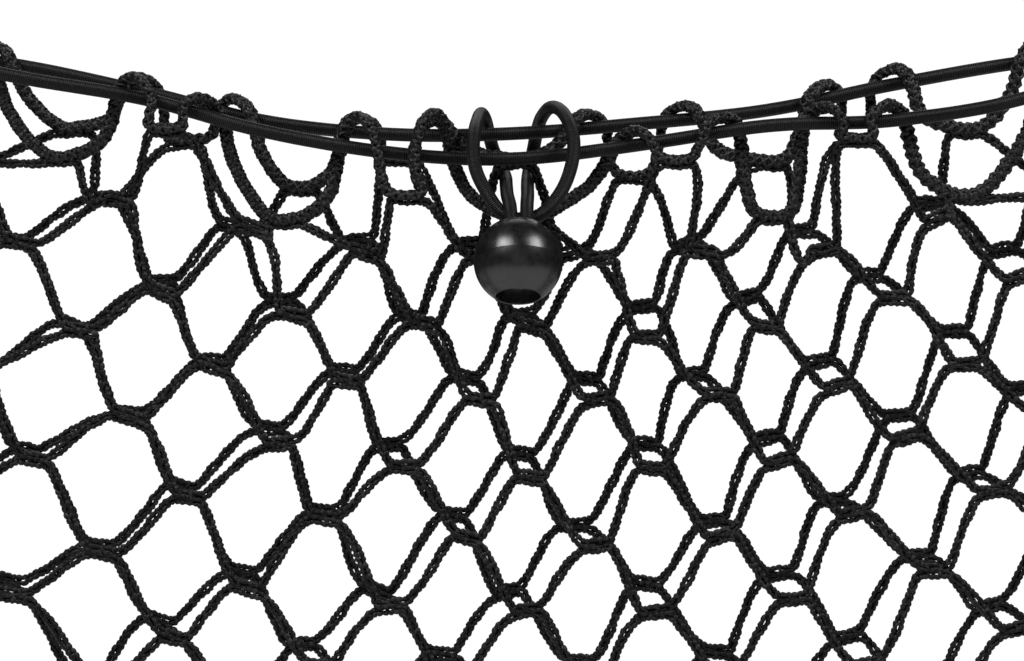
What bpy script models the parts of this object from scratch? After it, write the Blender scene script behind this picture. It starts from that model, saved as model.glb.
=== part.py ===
"""Cargo net: a double-layer knotless net pocket on a ring of elastic cord.

The pocket hangs from the two corner bights of the elastic ring. X runs along the mouth, +Z is up and the
front layer faces -Y. The origin is midway between the two corner bights, so every drop is measured down
from the line they hang on.
"""

import math
import random

import bmesh
import bpy
from mathutils import Matrix, Vector

# Cord thicknesses and the toggle ball, in metres.
TWINE = 0.0025
BAR = 0.0046
BORDER = 0.0037
ELASTIC = 0.0040
BALL = 0.0260

# The net's lattice. A column is one junction wide, and odd rows stand half a column to the side.
NET_MIDDLE = 0.0261
PITCH = 0.0328
PITCH_GAIN = 0.00126
GAIN_ROWS = 5.5
COLUMN_SPREAD = 0.005
FIRST_COLUMN = -5.6
COLUMNS = 10
BOTTOM_ROW = 8
FIRST_ROW_DROP = 0.0657
ROW_DROP = 0.0207
SAG = 0.92
LOW_X = 0.0176
BAR_HALF = 0.0037
LEG_STEPS = 3
LEG_CURVE = 0.80
LOWER_CURVE = 0.75
DIP_CURVE = 0.40
SLACK_LEG = 0.0180
SLACK_OUT = 0.8
SLACK_DOWN = 0.4
UNEVEN_PLACE = 0.0021
UNEVEN_TILT = math.radians(13)
UNEVEN_BEND = 0.0012

# The two layers: half the depth of the mouth, at its ends and where the toggle clasps it, half the pocket's
# thickness, and how the back layer is shifted against the front one.
MOUTH_HALF = 0.0110
CLASP_HALF = 0.0055
CLASP_REACH = 0.0450
POCKET_HALF = 0.0075
EDGE_TAPER = 0.0300
BACK_SHIFT = -0.0040
BACK_LIFT = 0.0047
BACK_LOW_SHIFT = -0.0150

# The selvage: stubs tie the layers to it, the back one's beside the front one's.
STUB = 0.0085
STUB_SPACING = 0.0090
TOP_CORNER_DROP = 0.0160
FOOT_REACH = 0.0025
FOOT_FALL = 0.0070

# The elastic ring: its drop below the hanging line along the front and the back run, in millimetres.
RING_HALF_LENGTH = 0.1900
RING_STEP = 0.0120
RING_TURN_STEPS = 8
MOUTH_COLUMNS = ("x", "front", "back")
MOUTH_STATIONS = (
    (-190, 1.5, 1.5),
    (-150, 11.0, 6.5),
    (-110, 18.0, 15.0),
    (-75, 27.5, 23.5),
    (-35, 34.0, 27.5),
    (0, 35.3, 27.2),
    (35, 31.4, 24.3),
    (75, 25.7, 20.0),
    (110, 24.3, 12.8),
    (150, 17.5, 5.8),
    (190, 1.5, 1.5),
)

# How each border cord is laced round its run of elastic, in millimetres: over the elastic at bump_x,
# rising bump_rise above its centre, then hanging dip_fall below it at dip_x, before (-1) or behind (+1) it.
WRAP = 0.0047
BUMP_HALF = 0.0055
DIP_HALF = 0.0046
FRONT_END_BUMP = 160.0
BACK_END_BUMP = 156.0
SCALLOP_COLUMNS = ("bump_x", "bump_rise", "dip_x", "dip_fall", "side")
FRONT_SCALLOPS = (
    (-160, 4.7, -135.0, 20.5, 1),
    (-113, 5.6, -103.5, 6.5, -1),
    (-93, 4.7, -69.0, 24.0, 1),
    (-47, 9.4, -33.0, 11.5, -1),
    (-25, 13.2, 1.5, 17.0, 1),
    (34, 4.2, 46.5, 5.5, -1),
    (60, 4.2, 75.5, 26.0, 1),
    (90, 4.7, 99.8, 4.0, -1),
    (109, 4.5, 132.0, 24.0, 1),
)
BACK_SCALLOPS = (
    (-157, 4.7, -133.0, 15.0, -1),
    (-113, 4.2, -100.5, 11.0, 1),
    (-85, 4.7, -65.0, 17.5, -1),
    (-47, 4.2, -36.0, 6.0, 1),
    (-25, 4.2, -0.6, 7.5, -1),
    (21, 4.2, 34.5, 14.5, 1),
    (49, 4.2, 75.0, 15.0, -1),
    (92, 4.2, 101.8, 13.0, 1),
    (112, 4.7, 134.5, 17.0, -1),
)

# The toggle: where its ball hangs, and its elastic's route from the ball's neck over both runs and back.
BALL_PLACE = (0.0, -0.0235, -0.0660)
BALL_TILT = math.radians(20)
NECK_BORE = 0.0100
KNOT_RECESS = 0.0130
KNOT_RECESS_DEPTH = 0.0070
BALL_SEGMENTS = 28
BORE_SEGMENTS = 24
BALL_RINGS = 18
TOGGLE_STEP = 0.0045
TOGGLE_COLUMNS = ("x", "y", "drop")
TOGGLE_ROUTE = (
    (-2.1, -20.4, 57.5),
    (-2.1, -18.8, 53.4),
    (-2.4, -14.0, 49.6),
    (-3.2, -8.0, 46.2),
    (-3.5, -2.0, 43.2),
    (-3.8, 4.0, 40.4),
    (-5.4, 8.6, 36.4),
    (-7.6, 10.8, 31.4),
    (-8.8, 10.8, 26.8),
    (-9.8, 9.0, 23.0),
    (-11.0, 4.0, 21.4),
    (-12.2, -4.0, 24.4),
    (-13.0, -9.4, 28.6),
    (-13.2, -11.6, 33.6),
    (-12.4, -12.8, 39.0),
    (-9.6, -14.2, 45.0),
    (-5.0, -13.0, 51.4),
    (0.6, -11.4, 54.2),
    (7.0, -13.0, 51.8),
    (12.6, -14.2, 45.4),
    (15.6, -12.8, 38.0),
    (16.4, -11.6, 31.0),
    (15.4, -9.0, 25.8),
    (12.8, -3.2, 21.0),
    (9.6, 4.4, 19.6),
    (7.0, 9.2, 22.4),
    (5.6, 10.8, 26.8),
    (4.7, 10.8, 31.4),
    (3.7, 8.6, 36.4),
    (3.0, 4.0, 40.4),
    (2.8, -2.0, 43.2),
    (2.8, -8.0, 46.2),
    (2.6, -14.0, 49.6),
    (2.5, -18.8, 53.4),
    (2.5, -20.4, 57.5),
)

MM = 0.001
FRONT, BACK = 0, 1


def clear_scene():
    for item in list(bpy.data.objects):
        bpy.data.objects.remove(item, do_unlink=True)


def plain_material(name, colour, roughness):
    material = bpy.data.materials.new(name)
    material.use_nodes = True
    shader = material.node_tree.nodes["Principled BSDF"]
    shader.inputs["Base Color"].default_value = (*colour, 1.0)
    shader.inputs["Roughness"].default_value = roughness
    shader.inputs["Metallic"].default_value = 0.0
    return material


def add_object(name, data, material):
    item = bpy.data.objects.new(name, data)
    bpy.context.collection.objects.link(item)
    item.data.materials.append(material)
    return item


# Shared curves


def table(columns, rows):
    return [dict(zip(columns, row)) for row in rows]


def hermite(start, end, start_pull, end_pull, t):
    """A point on the cubic that leaves start along start_pull and reaches end along end_pull."""
    return (
        start * (2 * t**3 - 3 * t**2 + 1)
        + start_pull * (t**3 - 2 * t**2 + t)
        + end * (3 * t**2 - 2 * t**3)
        + end_pull * (t**3 - t**2)
    )


def smooth_value(stations, key, x):
    """A smooth curve of one column through the stations, read at x (millimetres)."""
    last = len(stations) - 1
    span = 0
    while span < last - 1 and x > stations[span + 1]["x"]:
        span += 1
    here, there = stations[span], stations[span + 1]
    before = stations[max(span - 1, 0)]
    after = stations[min(span + 2, last)]
    width = there["x"] - here["x"]
    pull_here = (there[key] - before[key]) / (there["x"] - before["x"]) * width
    pull_there = (after[key] - here[key]) / (after["x"] - here["x"]) * width
    return hermite(here[key], there[key], pull_here, pull_there, (x - here["x"]) / width)


def smooth_route(points, step):
    """Points about a step apart on the smooth curve through the given ones."""
    route = []
    for index in range(len(points) - 1):
        here, there = points[index], points[index + 1]
        before = points[max(index - 1, 0)]
        after = points[min(index + 2, len(points) - 1)]
        pieces = max(1, round((there - here).length / step))
        for piece in range(pieces):
            t = piece / pieces
            route.append(hermite(here, there, (there - before) / 2, (after - here) / 2, t))
    route.append(points[-1])
    return route


def uneven(*place):
    """A fixed value from -1 to 1 for a place in the net, so no two meshes are alike."""
    return random.Random(" ".join(str(part) for part in place)).uniform(-1, 1)


def side_of(layer):
    return -1 if layer == FRONT else 1


# The elastic ring


MOUTH = table(MOUTH_COLUMNS, MOUTH_STATIONS)


def elastic_drop(layer, x):
    return smooth_value(MOUTH, "front" if layer == FRONT else "back", x / MM) * MM


def mouth_half(x):
    """Half the depth between the two runs: the toggle draws them together in the middle."""
    return MOUTH_HALF - (MOUTH_HALF - CLASP_HALF) * math.exp(-((x / CLASP_REACH) ** 2))


def ring_route():
    """The ring's centre line: front run, right bight, back run, left bight."""
    steps = round(2 * RING_HALF_LENGTH / RING_STEP)
    runs = {}
    for layer in (FRONT, BACK):
        xs = [RING_HALF_LENGTH * (2 * step / steps - 1) for step in range(steps + 1)]
        runs[layer] = [Vector((x, side_of(layer) * mouth_half(x), -elastic_drop(layer, x))) for x in xs]
    points = list(runs[FRONT])
    points += bight(runs[FRONT][-1], 1)
    points += reversed(runs[BACK])
    points += bight(runs[BACK][0], -1)
    return points


def bight(start, outward):
    """The half turn at a corner, rising to the hanging line at its tip."""
    rise = -start.z
    points = []
    for step in range(1, RING_TURN_STEPS):
        angle = math.pi * step / RING_TURN_STEPS
        out = outward * MOUTH_HALF * math.sin(angle)
        across = start.y * math.cos(angle)
        points.append(Vector((start.x + out, across, start.z + rise * math.sin(angle))))
    return points


def cord_object(name, points, thickness, closed, material):
    curve = bpy.data.curves.new(name, "CURVE")
    curve.dimensions = "3D"
    curve.bevel_depth = thickness / 2
    curve.bevel_resolution = 2
    curve.use_fill_caps = not closed
    spline = curve.splines.new("POLY")
    spline.points.add(len(points) - 1)
    for target, point in zip(spline.points, points):
        target.co = (*point, 1.0)
    spline.use_cyclic_u = closed
    return add_object(name, curve, material)


# Strands: a graph of cords in the net's plane, meshed as one closed body


class Strands:
    """Points joined by cords. Each cord has four sides: a ridge before, a ridge behind and two edges."""

    def __init__(self):
        self.points = []
        self.cords = []

    def point(self, place, half_depth):
        self.points.append((Vector(place), half_depth))
        return len(self.points) - 1

    def cord(self, start, end, half_width):
        self.cords.append((start, end, half_width))

    def path(self, indices, half_width):
        for start, end in zip(indices, indices[1:]):
            self.cord(start, end, half_width)

    def place(self, index):
        return self.points[index][0]


def heading(strands, start, end):
    step = strands.place(end) - strands.place(start)
    return Vector((step.x, step.z)).normalized()


def corner(before, width_before, after, width_after):
    """Where the left edge of one cord meets the right edge of the next one round the same point."""
    left = Vector((-before.y, before.x)) * width_before
    right = Vector((after.y, -after.x)) * width_after
    turn = before.x * after.y - before.y * after.x
    if abs(turn) < 0.2 and before.dot(after) < 0:
        return (left + right) / 2
    reach = ((right.x - left.x) * after.y - (right.y - left.y) * after.x) / turn
    offset = left + before * reach
    longest = 2.3 * max(width_before, width_after)
    if offset.length > longest:
        offset = offset.normalized() * longest
    return offset


def strand_mesh(name, strands):
    mesh = bmesh.new()
    around = [[] for _ in strands.points]
    for number, (start, end, width) in enumerate(strands.cords):
        for here, there in ((start, end), (end, start)):
            towards = heading(strands, here, there)
            around[here].append((math.atan2(towards.y, towards.x), number, towards, width))
    ridges = []
    edges = []
    for (place, half_depth), cords in zip(strands.points, around):
        cords.sort(key=lambda cord: cord[0])
        depth = Vector((0, half_depth, 0))
        ridges.append((mesh.verts.new(place - depth), mesh.verts.new(place + depth)))
        sectors = {}
        for turn, (_, number, towards, width) in enumerate(cords):
            _, next_number, next_towards, next_width = cords[(turn + 1) % len(cords)]
            offset = corner(towards, width, next_towards, next_width)
            vertex = mesh.verts.new(place + Vector((offset.x, 0, offset.y)))
            sectors.setdefault(number, {})["left"] = vertex
            sectors.setdefault(next_number, {})["right"] = vertex
        edges.append(sectors)
    for number, (start, end, _) in enumerate(strands.cords):
        front_start, back_start = ridges[start]
        front_end, back_end = ridges[end]
        left_start, right_start = edges[start][number]["left"], edges[start][number]["right"]
        left_end, right_end = edges[end][number]["right"], edges[end][number]["left"]
        mesh.faces.new((front_start, front_end, left_end, left_start))
        mesh.faces.new((front_end, front_start, right_start, right_end))
        mesh.faces.new((back_end, back_start, left_start, left_end))
        mesh.faces.new((back_start, back_end, right_end, right_start))
    bmesh.ops.recalc_face_normals(mesh, faces=mesh.faces)
    bmesh.ops.triangulate(mesh, faces=mesh.faces)
    data = bpy.data.meshes.new(name)
    mesh.to_mesh(data)
    mesh.free()
    return data


# The net


def column_x(row, column):
    pitch = PITCH + PITCH_GAIN * min(row, GAIN_ROWS)
    return NET_MIDDLE + pitch * (column + COLUMN_SPREAD * column**3)


def row_drop(row, x):
    return FIRST_ROW_DROP + ROW_DROP * row - SAG * (x - LOW_X) ** 2


def back_row_drop(row, x):
    """The back layer hangs higher than the front one, and its rows are lowest further to the left."""
    return row_drop(row, x - BACK_LOW_SHIFT) - BACK_LIFT


def rim_x(row, outward):
    return column_x(row, FIRST_COLUMN if outward < 0 else FIRST_COLUMN + COLUMNS)


def layer_y(layer, row, x):
    """The layers part from the selvage inwards, up to half the pocket's thickness."""
    edge = min(x - rim_x(row, -1), rim_x(row, 1) - x, (BOTTOM_ROW - row) * ROW_DROP)
    opening = math.sin(math.pi / 2 * min(1.0, max(0.0, edge) / EDGE_TAPER))
    return side_of(layer) * POCKET_HALF * opening


def junction(layer, row, index):
    """The centre and the heading of one junction bar. Odd rows start half a column further out."""
    column = FIRST_COLUMN + index + (0.5 if row % 2 == 0 else 0.0)
    x = column_x(row, column)
    low_x = LOW_X
    drop = row_drop(row, x)
    if layer == BACK:
        x += BACK_SHIFT
        low_x += BACK_LOW_SHIFT
        drop = back_row_drop(row, x)
    tilt = math.atan(2 * SAG * (x - low_x)) + UNEVEN_TILT * uneven(layer, row, index, "tilt")
    x += UNEVEN_PLACE * uneven(layer, row, index, "x")
    drop += UNEVEN_PLACE * uneven(layer, row, index, "drop")
    along = Vector((math.cos(tilt), 0, math.sin(tilt)))
    return Vector((x, layer_y(layer, row, x), -drop)), along


def add_junctions(strands, layer, ends):
    """Junction bars of every row but the bottom one, and the stubs that tie odd rows to the selvage."""
    for row in range(BOTTOM_ROW):
        odd = row % 2
        for index in range(odd, COLUMNS):
            centre, along = junction(layer, row, index)
            left = strands.point(centre - along * BAR_HALF, TWINE / 2)
            right = strands.point(centre + along * BAR_HALF, TWINE / 2)
            strands.cord(left, right, BAR / 2)
            ends[layer, row, index] = (left, right, along)


def add_stub(strands, layer, row, outward, rim_place, ends):
    """A short tie from the selvage into the layer. Returns its point on the selvage."""
    rim = strands.point(rim_place, BORDER / 2)
    inner = rim_place + Vector((-outward * STUB, 0, 0))
    inner.y = layer_y(layer, row, inner.x)
    end = strands.point(inner, TWINE / 2)
    strands.cord(rim, end, TWINE / 2)
    along = Vector((1, 0, 0))
    index = 0 if outward < 0 else COLUMNS
    ends[layer, row, index] = (end, end, along)
    return rim


def add_selvage(strands, ends):
    """The closed edge down both sides and along the bottom, from top corner to top corner."""
    sides = {}
    for outward in (-1, 1):
        side = []
        for row in range(-1, BOTTOM_ROW, 2):
            x = rim_x(row, outward)
            drop = TOP_CORNER_DROP if row < 0 else row_drop(row, x)
            for layer in (BACK, FRONT):
                rise = STUB_SPACING if layer == BACK else 0
                place = Vector((x, 0, rise - drop))
                side.append(add_stub(strands, layer, row, outward, place, ends))
        sides[outward] = side
    bottom = [bottom_corner(strands, -1)]
    for index in range(COLUMNS):
        for layer in (FRONT, BACK):
            bottom.append(add_bottom_stub(strands, layer, index, ends))
    bottom.append(bottom_corner(strands, 1))
    strands.path(sides[-1] + bottom + sides[1][::-1], BORDER / 2)
    return sides


def bottom_corner(strands, outward):
    x = rim_x(BOTTOM_ROW, outward)
    return strands.point((x, 0, -row_drop(BOTTOM_ROW, x)), BORDER / 2)


def add_bottom_stub(strands, layer, index, ends):
    x = column_x(BOTTOM_ROW, FIRST_COLUMN + 0.5 + index) + side_of(layer) * STUB_SPACING / 2
    drop = row_drop(BOTTOM_ROW, x)
    rim = strands.point((x, 0, -drop), BORDER / 2)
    top = Vector((x, side_of(layer) * POCKET_HALF * STUB / EDGE_TAPER, STUB - drop))
    end = strands.point(top, TWINE / 2)
    strands.cord(rim, end, TWINE / 2)
    ends[layer, BOTTOM_ROW, index] = (end, end, Vector((1, 0, 0)))
    return rim


def over_elastic(layer, x, rise, side_before, side_after):
    """The border cord's points as it climbs over the elastic from one side of it to the other."""
    points = []
    for angle, across in ((0, -1.0), (45, -0.62), (90, 0.0), (135, 0.62), (180, 1.0)):
        turn = math.radians(angle)
        place_x = x + across * BUMP_HALF
        out = WRAP * (side_before if angle < 90 else side_after) * abs(math.cos(turn))
        up = rise * math.sin(turn) - elastic_drop(layer, place_x)
        points.append(Vector((place_x, side_of(layer) * mouth_half(place_x) + out, up)))
    return points


def hanging_dip(layer, before_x, dip, after_x):
    """The border cord's points in one scallop, its lowest two first, then the shoulders beside them."""
    x = dip["dip_x"] * MM
    fall = dip["dip_fall"] * MM
    y = side_of(layer) * mouth_half(x) + dip["side"] * WRAP
    lowest = []
    for across in (-DIP_HALF, DIP_HALF):
        lowest.append(Vector((x + across, y, -elastic_drop(layer, x) - fall)))
    shoulders = []
    for leg_x, low in ((before_x, lowest[0]), (after_x, lowest[1])):
        shoulder_x = leg_x + (low.x - leg_x) * 0.3
        shoulders.append(Vector((shoulder_x, y, -elastic_drop(layer, leg_x) - fall * 0.6)))
    return lowest, shoulders


def add_foot(strands, layer, leg_x, outward, side):
    """Where the border cord turns up beside the elastic, between a top corner and the next bump."""
    x = leg_x + outward * FOOT_REACH
    y = side_of(layer) * mouth_half(x) + side * WRAP
    return strands.point((x, y, -elastic_drop(layer, x) - FOOT_FALL), BORDER / 2)


def add_border(strands, layer, corners, ends):
    """The laced border of one layer, from the left top corner's stub to the right one's."""
    rows = FRONT_SCALLOPS if layer == FRONT else BACK_SCALLOPS
    end_bump = (FRONT_END_BUMP if layer == FRONT else BACK_END_BUMP) * MM
    scallops = table(SCALLOP_COLUMNS, rows)
    bumps = [scallop["bump_x"] * MM for scallop in scallops] + [end_bump]
    rises = [scallop["bump_rise"] * MM for scallop in scallops] + [WRAP]
    sides = [-scallops[0]["side"]] + [scallop["side"] for scallop in scallops] + [-scallops[-1]["side"]]
    foot = add_foot(strands, layer, bumps[0] - BUMP_HALF, -1, sides[0])
    indices = [corners[0], foot]
    for number, (x, rise) in enumerate(zip(bumps, rises)):
        for place in over_elastic(layer, x, rise, sides[number], sides[number + 1]):
            indices.append(strands.point(place, BORDER / 2))
        if number == len(scallops):
            break
        leg_xs = (x + BUMP_HALF, bumps[number + 1] - BUMP_HALF)
        lowest, shoulders = hanging_dip(layer, leg_xs[0], scallops[number], leg_xs[1])
        low = [strands.point(place, BORDER / 2) for place in lowest]
        deep = scallops[number]["dip_fall"] * MM > 2 * BORDER
        around = [strands.point(place, BORDER / 2) for place in shoulders] if deep else []
        indices += around[:1] + low + around[1:]
        ends[layer, -1, number + 1] = (low[0], low[1], Vector((1, 0, 0)))
    foot = add_foot(strands, layer, bumps[-1] + BUMP_HALF, 1, sides[-1])
    indices += [foot, corners[1]]
    strands.path(indices, BORDER / 2)


def add_leg(strands, start, end, start_pull, end_pull, place):
    """One mesh leg between two bar ends. A shallow one leaves and arrives along the bars, a steep one less so."""
    first, last = strands.place(start), strands.place(end)
    span = (last - first).length
    least_reach = DIP_CURVE * span if place[1] < 0 and span > SLACK_LEG else 0.0
    upper_reach = max(least_reach, LEG_CURVE * (last - first).dot(start_pull))
    lower_reach = LEG_CURVE * LOWER_CURVE * max(0.0, (last - first).dot(end_pull))
    across = (last - first).cross(Vector((0, 1, 0))).normalized()
    bend = across * UNEVEN_BEND * uneven(*place, "bend")
    if place[1] < 0 and span < SLACK_LEG:
        slack = math.sqrt(3 / 8 * span * (SLACK_LEG - span))
        bend += Vector((0, side_of(place[0]) * SLACK_OUT, -SLACK_DOWN)) * slack
    indices = [start]
    for step in range(1, LEG_STEPS):
        t = step / LEG_STEPS
        spot = hermite(first, last, start_pull * upper_reach, end_pull * lower_reach, t)
        indices.append(strands.point(spot + bend * math.sin(math.pi * t), TWINE / 2))
    indices.append(end)
    strands.path(indices, TWINE / 2)


def add_legs(strands, layer, ends):
    """The legs from each row down to the next, in the lattice's two directions."""
    for row in range(-1, BOTTOM_ROW):
        odd = row % 2
        for index in range(COLUMNS + 1):
            if (layer, row, index) not in ends:
                continue
            left, right, along = ends[layer, row, index]
            below_left = ends.get((layer, row + 1, index - 1 if odd else index))
            below_right = ends.get((layer, row + 1, index if odd else index + 1))
            if below_left and index - odd >= 0:
                target, pull = below_left[1], below_left[2]
                add_leg(strands, left, target, -along, -pull, (layer, row, index, "left"))
            if below_right:
                target, pull = below_right[0], below_right[2]
                add_leg(strands, right, target, along, pull, (layer, row, index, "right"))


def build_net(material):
    strands = Strands()
    ends = {}
    add_selvage(strands, ends)
    for layer in (FRONT, BACK):
        corners = [ends[layer, -1, 0][0], ends[layer, -1, COLUMNS][0]]
        add_border(strands, layer, corners, ends)
        add_junctions(strands, layer, ends)
        add_legs(strands, layer, ends)
    return add_object("net", strand_mesh("net", strands), material)


# The toggle


def turned_cutter(name, profile):
    """A closed turned body from (radius, height) pairs, bottom first."""
    mesh = bmesh.new()
    rings = []
    for radius, height in profile:
        ring = []
        for step in range(BORE_SEGMENTS):
            angle = 2 * math.pi * step / BORE_SEGMENTS
            ring.append(mesh.verts.new((radius * math.cos(angle), radius * math.sin(angle), height)))
        rings.append(ring)
    for low, high in zip(rings, rings[1:]):
        for step in range(BORE_SEGMENTS):
            beside = (step + 1) % BORE_SEGMENTS
            mesh.faces.new((low[step], low[beside], high[beside], high[step]))
    mesh.faces.new(rings[0][::-1])
    mesh.faces.new(rings[-1])
    data = bpy.data.meshes.new(name)
    mesh.to_mesh(data)
    mesh.free()
    cutter = bpy.data.objects.new(name, data)
    bpy.context.collection.objects.link(cutter)
    cutter.hide_render = True
    cutter.display_type = "WIRE"
    return cutter


def build_ball(material):
    mesh = bmesh.new()
    bmesh.ops.create_uvsphere(mesh, u_segments=BALL_SEGMENTS, v_segments=BALL_RINGS, radius=BALL / 2)
    data = bpy.data.meshes.new("toggle_ball")
    mesh.to_mesh(data)
    mesh.free()
    data.shade_smooth()
    ball = add_object("toggle_ball", data, material)
    floor = KNOT_RECESS_DEPTH - BALL / 2
    bore = turned_cutter(
        "toggle_bore",
        ((KNOT_RECESS / 2, -BALL), (KNOT_RECESS / 2, floor), (NECK_BORE / 2, floor), (NECK_BORE / 2, BALL)),
    )
    cut = ball.modifiers.new("bore", "BOOLEAN")
    cut.operation = "DIFFERENCE"
    cut.solver = "EXACT"
    cut.object = bore
    pose = Matrix.Translation(BALL_PLACE) @ Matrix.Rotation(-BALL_TILT, 4, "X")
    ball.matrix_world = pose
    bore.matrix_world = pose
    return ball


def build_toggle_loop(material):
    stations = table(TOGGLE_COLUMNS, TOGGLE_ROUTE)
    points = [Vector((place["x"], place["y"], -place["drop"])) * MM for place in stations]
    return cord_object("toggle_loop", smooth_route(points, TOGGLE_STEP), ELASTIC, False, material)


clear_scene()
build_net(plain_material("twine", (0.018, 0.018, 0.019), 0.85))
sheath = plain_material("elastic_sheath", (0.028, 0.028, 0.030), 0.55)
cord_object("mouth_elastic", ring_route(), ELASTIC, True, sheath)
build_toggle_loop(sheath)
build_ball(plain_material("ball_plastic", (0.020, 0.020, 0.021), 0.30))
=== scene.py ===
import math
import random

import bpy
import numpy as np
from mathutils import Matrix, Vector


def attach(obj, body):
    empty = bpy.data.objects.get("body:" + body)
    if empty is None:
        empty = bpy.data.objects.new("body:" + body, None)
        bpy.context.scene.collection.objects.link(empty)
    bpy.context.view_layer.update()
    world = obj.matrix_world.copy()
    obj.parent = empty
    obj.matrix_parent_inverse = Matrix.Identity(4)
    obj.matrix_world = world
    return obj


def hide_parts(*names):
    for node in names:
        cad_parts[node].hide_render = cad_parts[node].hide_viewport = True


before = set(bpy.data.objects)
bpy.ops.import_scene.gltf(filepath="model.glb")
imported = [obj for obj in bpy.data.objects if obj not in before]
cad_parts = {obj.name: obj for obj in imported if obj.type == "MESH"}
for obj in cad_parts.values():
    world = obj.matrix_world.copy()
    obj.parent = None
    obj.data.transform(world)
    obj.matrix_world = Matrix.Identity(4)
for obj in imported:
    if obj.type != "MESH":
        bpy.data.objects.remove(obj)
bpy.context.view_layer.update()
print("frame loaded")

mm = 0.001
front, back = 0, 1

# The net's lattice: columns widen downwards, and odd rows stand half a column to the side.
lattice = {
    "middleX": 26.1 * mm,
    "pitch": 32.8 * mm,
    "pitchGain": 1.26 * mm,
    "gainRows": 5.5,
    "columnSpread": 0.005,
    "firstColumn": -5.6,
    "columns": 10,
    "hemRow": -1,
    "splitRow": 3,
    "bottomRow": 8,
    "firstDrop": 65.7 * mm,
    "rowDrop": 20.7 * mm,
    "sag": 0.92,
    "lowX": 17.6 * mm,
    "pocketHalf": 7.5 * mm,
    "edgeTaper": 30.0 * mm,
    "backShift": -4.0 * mm,
    "backLift": 4.7 * mm,
    "backLowShift": -15.0 * mm,
    "unevenPlace": 2.1 * mm,
    "unevenTilt": math.radians(13),
}

# The knitted twine, two chains of loops side by side with a thread laced between them. Two twines side by
# side make a junction bar.
twine = {
    "chains": 2,
    "strand": 0.79 * mm,
    "half": 0.70 * mm,
    "inlay": 0.54 * mm,
    "inlayRise": 0.42 * mm,
    "inlaySides": 4,
    "loop": 1.85 * mm,
    "loopDrift": 0.16,
    "loopDriftTimes": 4,
    "sway": 0.12 * mm,
    "swell": 0.115,
    "opened": 0.24,
    "faceTurn": math.radians(40),
    "sides": 5,
    "step": 0.49 * mm,
    "barHalf": 3.7 * mm,
    "barSplit": 1.0 * mm,
    "barTwist": 0.35 * mm,
    "legCurve": 0.80,
    "lowerCurve": 0.75,
    "dipCurve": 0.40,
    "bend": 1.2 * mm,
    "legSteps": 8,
    "slackLength": 18.0 * mm,
    "slackOut": 0.4,
    "slackDown": 1.15,
    "waver": 0.22 * mm,
}

# The thick braided border and the selvage round the other three sides.
border = {
    "strands": 6,
    "strand": 0.66 * mm,
    "spread": (1.00 * mm, 1.62 * mm),
    "turn": 8.4 * mm,
    "opened": 0.05,
    "braided": 0.16,
    "core": 1.30 * mm,
    "sides": 5,
    "step": 0.62 * mm,
    "waver": 0.25 * mm,
    "twineBelow": 2.3 * mm,
    "wrap": 4.35 * mm,
    "bumpHalf": 5.5 * mm,
    "dipHalf": 4.6 * mm,
    "deepFall": 7.4 * mm,
    "shoulderIn": 0.3,
    "shoulderDown": 0.6,
    "footReach": 2.5 * mm,
    "footFall": 7.0 * mm,
    "stub": 8.5 * mm,
    "stubSpacing": 9.0 * mm,
    "stubSplit": 0.6 * mm,
    "topCornerDrop": 16.0 * mm,
    "frontEndBump": 160.0 * mm,
    "backEndBump": 156.0 * mm,
    "endBumpRise": 4.7 * mm,
}

# How cords stray from an even route and an even width.
stray = {
    "waves": (6.5 * mm, 11.0 * mm, 23.0 * mm),
    "fadePoints": 12,
    "longDrift": 19.0 * mm,
    "shortDrift": 7.3 * mm,
    "endTaper": 0.45,
}

# How each border climbs over its elastic and hangs down beside it, in millimetres.
scallopColumns = ("bumpX", "bumpRise", "dipX", "dipFall", "side")
scallopRows = {
    front: (
        (-160, 4.7, -135.0, 20.5, 1),
        (-113, 5.6, -103.5, 6.5, -1),
        (-93, 4.7, -69.0, 24.0, 1),
        (-47, 9.4, -33.0, 11.5, -1),
        (-25, 13.2, 1.5, 17.0, 1),
        (34, 4.2, 46.5, 5.5, -1),
        (60, 4.2, 75.5, 26.0, 1),
        (90, 4.7, 99.8, 4.0, -1),
        (109, 4.5, 132.0, 24.0, 1),
    ),
    back: (
        (-157, 4.7, -133.0, 15.0, -1),
        (-113, 4.2, -100.5, 11.0, 1),
        (-85, 4.7, -65.0, 17.5, -1),
        (-47, 4.2, -36.0, 6.0, 1),
        (-25, 4.2, -0.6, 7.5, -1),
        (21, 4.2, 34.5, 14.5, 1),
        (49, 4.2, 75.0, 15.0, -1),
        (92, 4.2, 101.8, 13.0, 1),
        (112, 4.7, 134.5, 17.0, -1),
    ),
}

# The elastic of the mouth, a ring of two runs drawn together by the toggle.
elastic = {
    "radius": 2.0 * mm,
    "sides": 18,
    "step": 0.9 * mm,
    "halfLength": 190.0 * mm,
    "mouthHalf": 11.0 * mm,
    "claspHalf": 5.5 * mm,
    "claspReach": 45.0 * mm,
    "runStep": 12.0 * mm,
    "turnSteps": 8,
}

# How far each run hangs below the hanging line, in millimetres.
mouthColumns = ("x", front, back)
mouthRows = (
    (-190, 1.5, 1.5),
    (-150, 11.0, 6.5),
    (-110, 18.0, 15.0),
    (-75, 27.5, 23.5),
    (-35, 34.0, 27.5),
    (0, 35.3, 27.2),
    (35, 31.4, 24.3),
    (75, 25.7, 20.0),
    (110, 24.3, 12.8),
    (150, 17.5, 5.8),
    (190, 1.5, 1.5),
)

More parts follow.
